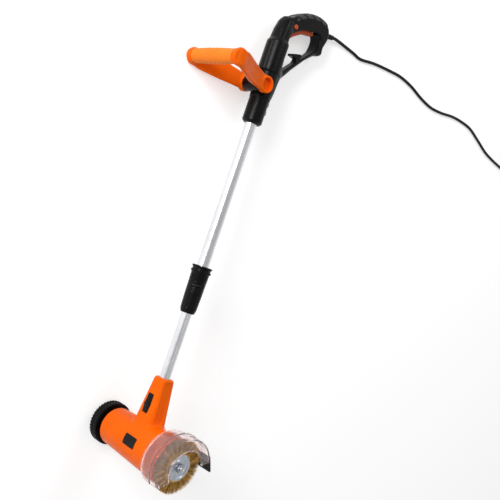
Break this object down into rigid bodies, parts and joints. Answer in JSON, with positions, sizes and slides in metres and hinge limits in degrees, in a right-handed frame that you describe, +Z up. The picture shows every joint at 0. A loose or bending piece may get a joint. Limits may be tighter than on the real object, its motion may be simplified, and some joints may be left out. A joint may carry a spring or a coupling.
{
  "type": "electric weeder",
  "caption": "Corded electric weed brush with a telescopic pole, wire wheel under a clear guard, guide wheel, trigger handle and tilting front handle, lying on its side.",
  "frame": {"origin": "centre of the footprint of the tool without its cord, at floor level", "axes": "+Z up from the floor it lies on, +Y along the pole towards the handle, +X towards the side where the cord leaves"},
  "size_m": [1.2813, 1.0358, 0.2655],
  "materials": {
    "orange_plastic": "smooth moulded, satin gloss",
    "grip_orange": "soft-touch moulding",
    "trigger_orange": "moulded",
    "black_plastic": "fine moulded grain",
    "soft_black": "soft over-moulding",
    "black_rubber": "smooth",
    "tyre_rubber": "ribbed tread",
    "tube_aluminium": "satin anodised",
    "die_cast": "as cast",
    "steel": "ground",
    "zinc": "zinc plated",
    "brass_wire": "drawn wire",
    "brass": "stamped",
    "copper": "enamelled copper winding",
    "core_steel": "laminated",
    "clear_plastic": "clear polycarbonate",
    "label_grey": "bare plate"
  },
  "bodies": {
    "head": {"head_front_shell": "orange_plastic", "head_rear_shell": "orange_plastic", "gear_bracket": "die_cast", "ring_gear": "core_steel", "gearbox_cover": "orange_plastic", "brush_guard": "clear_plastic", "guard_flap": "black_rubber", "rating_plate": "label_grey", "stator_core": "core_steel", "field_coil_upper": "copper", "field_coil_lower": "copper", "brush_holder_front": "brass", "brush_holder_rear": "brass", "carbon_brush_front": "black_rubber", "carbon_brush_rear": "black_rubber", "armature_rear_bearing": "steel", "armature_front_bearing": "steel", "spindle_bearing": "steel", "wheel_axle": "steel", "lower_tube": "tube_aluminium", "lower_lead": "black_rubber", "head_screw_1": "steel", "head_screw_2": "steel"},
    "armature": {"motor_shaft": "steel", "armature_core": "copper", "commutator": "copper", "cooling_fan": "black_plastic", "sun_pinion": "steel"},
    "brush_spindle": {"planet_carrier_spindle": "steel", "brush_hub": "zinc", "wire_bristles": "brass_wire", "brush_nut": "zinc"},
    "planet_1": {"planet_gear_1": "steel"},
    "planet_2": {"planet_gear_2": "steel"},
    "planet_3": {"planet_gear_3": "steel"},
    "guide_wheel": {"guide_wheel": "black_plastic", "wheel_tyre": "tyre_rubber"},
    "release_button": {"pole_release_button": "black_plastic"},
    "pole_and_handle": {"upper_tube": "tube_aluminium", "clamp_body": "black_plastic", "handle_left_shell": "black_plastic", "handle_right_shell": "black_plastic", "grip_pad": "soft_black", "power_switch": "black_plastic", "trigger_pin": "steel", "cord_sleeve": "soft_black", "front_handle_pivot": "black_plastic", "upper_lead": "black_rubber", "mains_cord": "black_rubber", "mains_cord_coil": "black_rubber", "mains_cord_tail": "black_rubber", "mains_plug": "black_plastic", "plug_pin_1": "brass", "plug_pin_2": "brass"},
    "clamp_nut": {"clamp_nut": "black_plastic"},
    "trigger": {"trigger": "trigger_orange"},
    "lock_off": {"lock_off_button": "trigger_orange"},
    "front_handle": {"front_handle": "orange_plastic", "front_grip": "grip_orange"}
  },
  "joints": [
    {"name": "brush_spin", "type": "hinge", "parent": "head", "child": "brush_spindle", "pos_m": [0.00924, -0.43524, 0.12686], "axis": [0.1433, 0.103, 0.9843], "continuous": true},
    {"name": "armature_spin", "type": "hinge", "parent": "head", "child": "armature", "pos_m": [0.00924, -0.43524, 0.12686], "axis": [0.1433, 0.103, 0.9843], "continuous": true},
    {"name": "planet_spin_1", "type": "hinge", "parent": "brush_spindle", "child": "planet_1", "pos_m": [0.01454, -0.41651, 0.16172], "axis": [0.1433, 0.103, 0.9843], "continuous": true},
    {"name": "planet_spin_2", "type": "hinge", "parent": "brush_spindle", "child": "planet_2", "pos_m": [0.0274, -0.43908, 0.16221], "axis": [0.1433, 0.103, 0.9843], "continuous": true},
    {"name": "planet_spin_3", "type": "hinge", "parent": "brush_spindle", "child": "planet_3", "pos_m": [0.00169, -0.4387, 0.16592], "axis": [0.1433, 0.103, 0.9843], "continuous": true},
    {"name": "wheel_spin", "type": "hinge", "parent": "head", "child": "guide_wheel", "pos_m": [0.00924, -0.43524, 0.12686], "axis": [0.1433, 0.103, 0.9843], "continuous": true},
    {"name": "release_press", "type": "slide", "parent": "head", "child": "release_button", "axis": [0.9897, -0.0149, -0.1425], "range_m": [0, 0.002], "stiffness_N_per_m": 400, "springref_m": -0.002},
    {"name": "pole_slide", "type": "slide", "parent": "head", "child": "pole_and_handle", "axis": [0, 0.9946, -0.104], "range_m": [-0.1, 0.16]},
    {"name": "clamp_twist", "type": "hinge", "parent": "pole_and_handle", "child": "clamp_nut", "pos_m": [0.00924, -0.13687, 0.09565], "axis": [0, 0.9946, -0.104], "range_deg": [0, 90]},
    {"name": "trigger_pull", "type": "hinge", "parent": "pole_and_handle", "child": "trigger", "pos_m": [0.07951, 0.45533, 0.02347], "axis": [-0.1433, -0.103, -0.9843], "range_deg": [0, 5], "stiffness_Nm_per_rad": 1, "springref_deg": -5.73},
    {"name": "lock_off_press", "type": "slide", "parent": "pole_and_handle", "child": "lock_off", "axis": [-0.1433, -0.103, -0.9843], "range_m": [0, 0.002], "stiffness_N_per_m": 300, "springref_m": -0.002},
    {"name": "front_handle_tilt", "type": "hinge", "parent": "pole_and_handle", "child": "front_handle", "pos_m": [-0.01451, 0.29911, 0.0535], "axis": [0.1433, 0.103, 0.9843], "range_deg": [-50, 50]}
  ],
  "couplings": [
    {"joint": "armature_spin", "follows": "brush_spin", "ratio": 4.8},
    {"joint": "planet_spin_1", "follows": "brush_spin", "ratio": -2.7143},
    {"joint": "planet_spin_2", "follows": "brush_spin", "ratio": -2.7143},
    {"joint": "planet_spin_3", "follows": "brush_spin", "ratio": -2.7143}
  ]
}
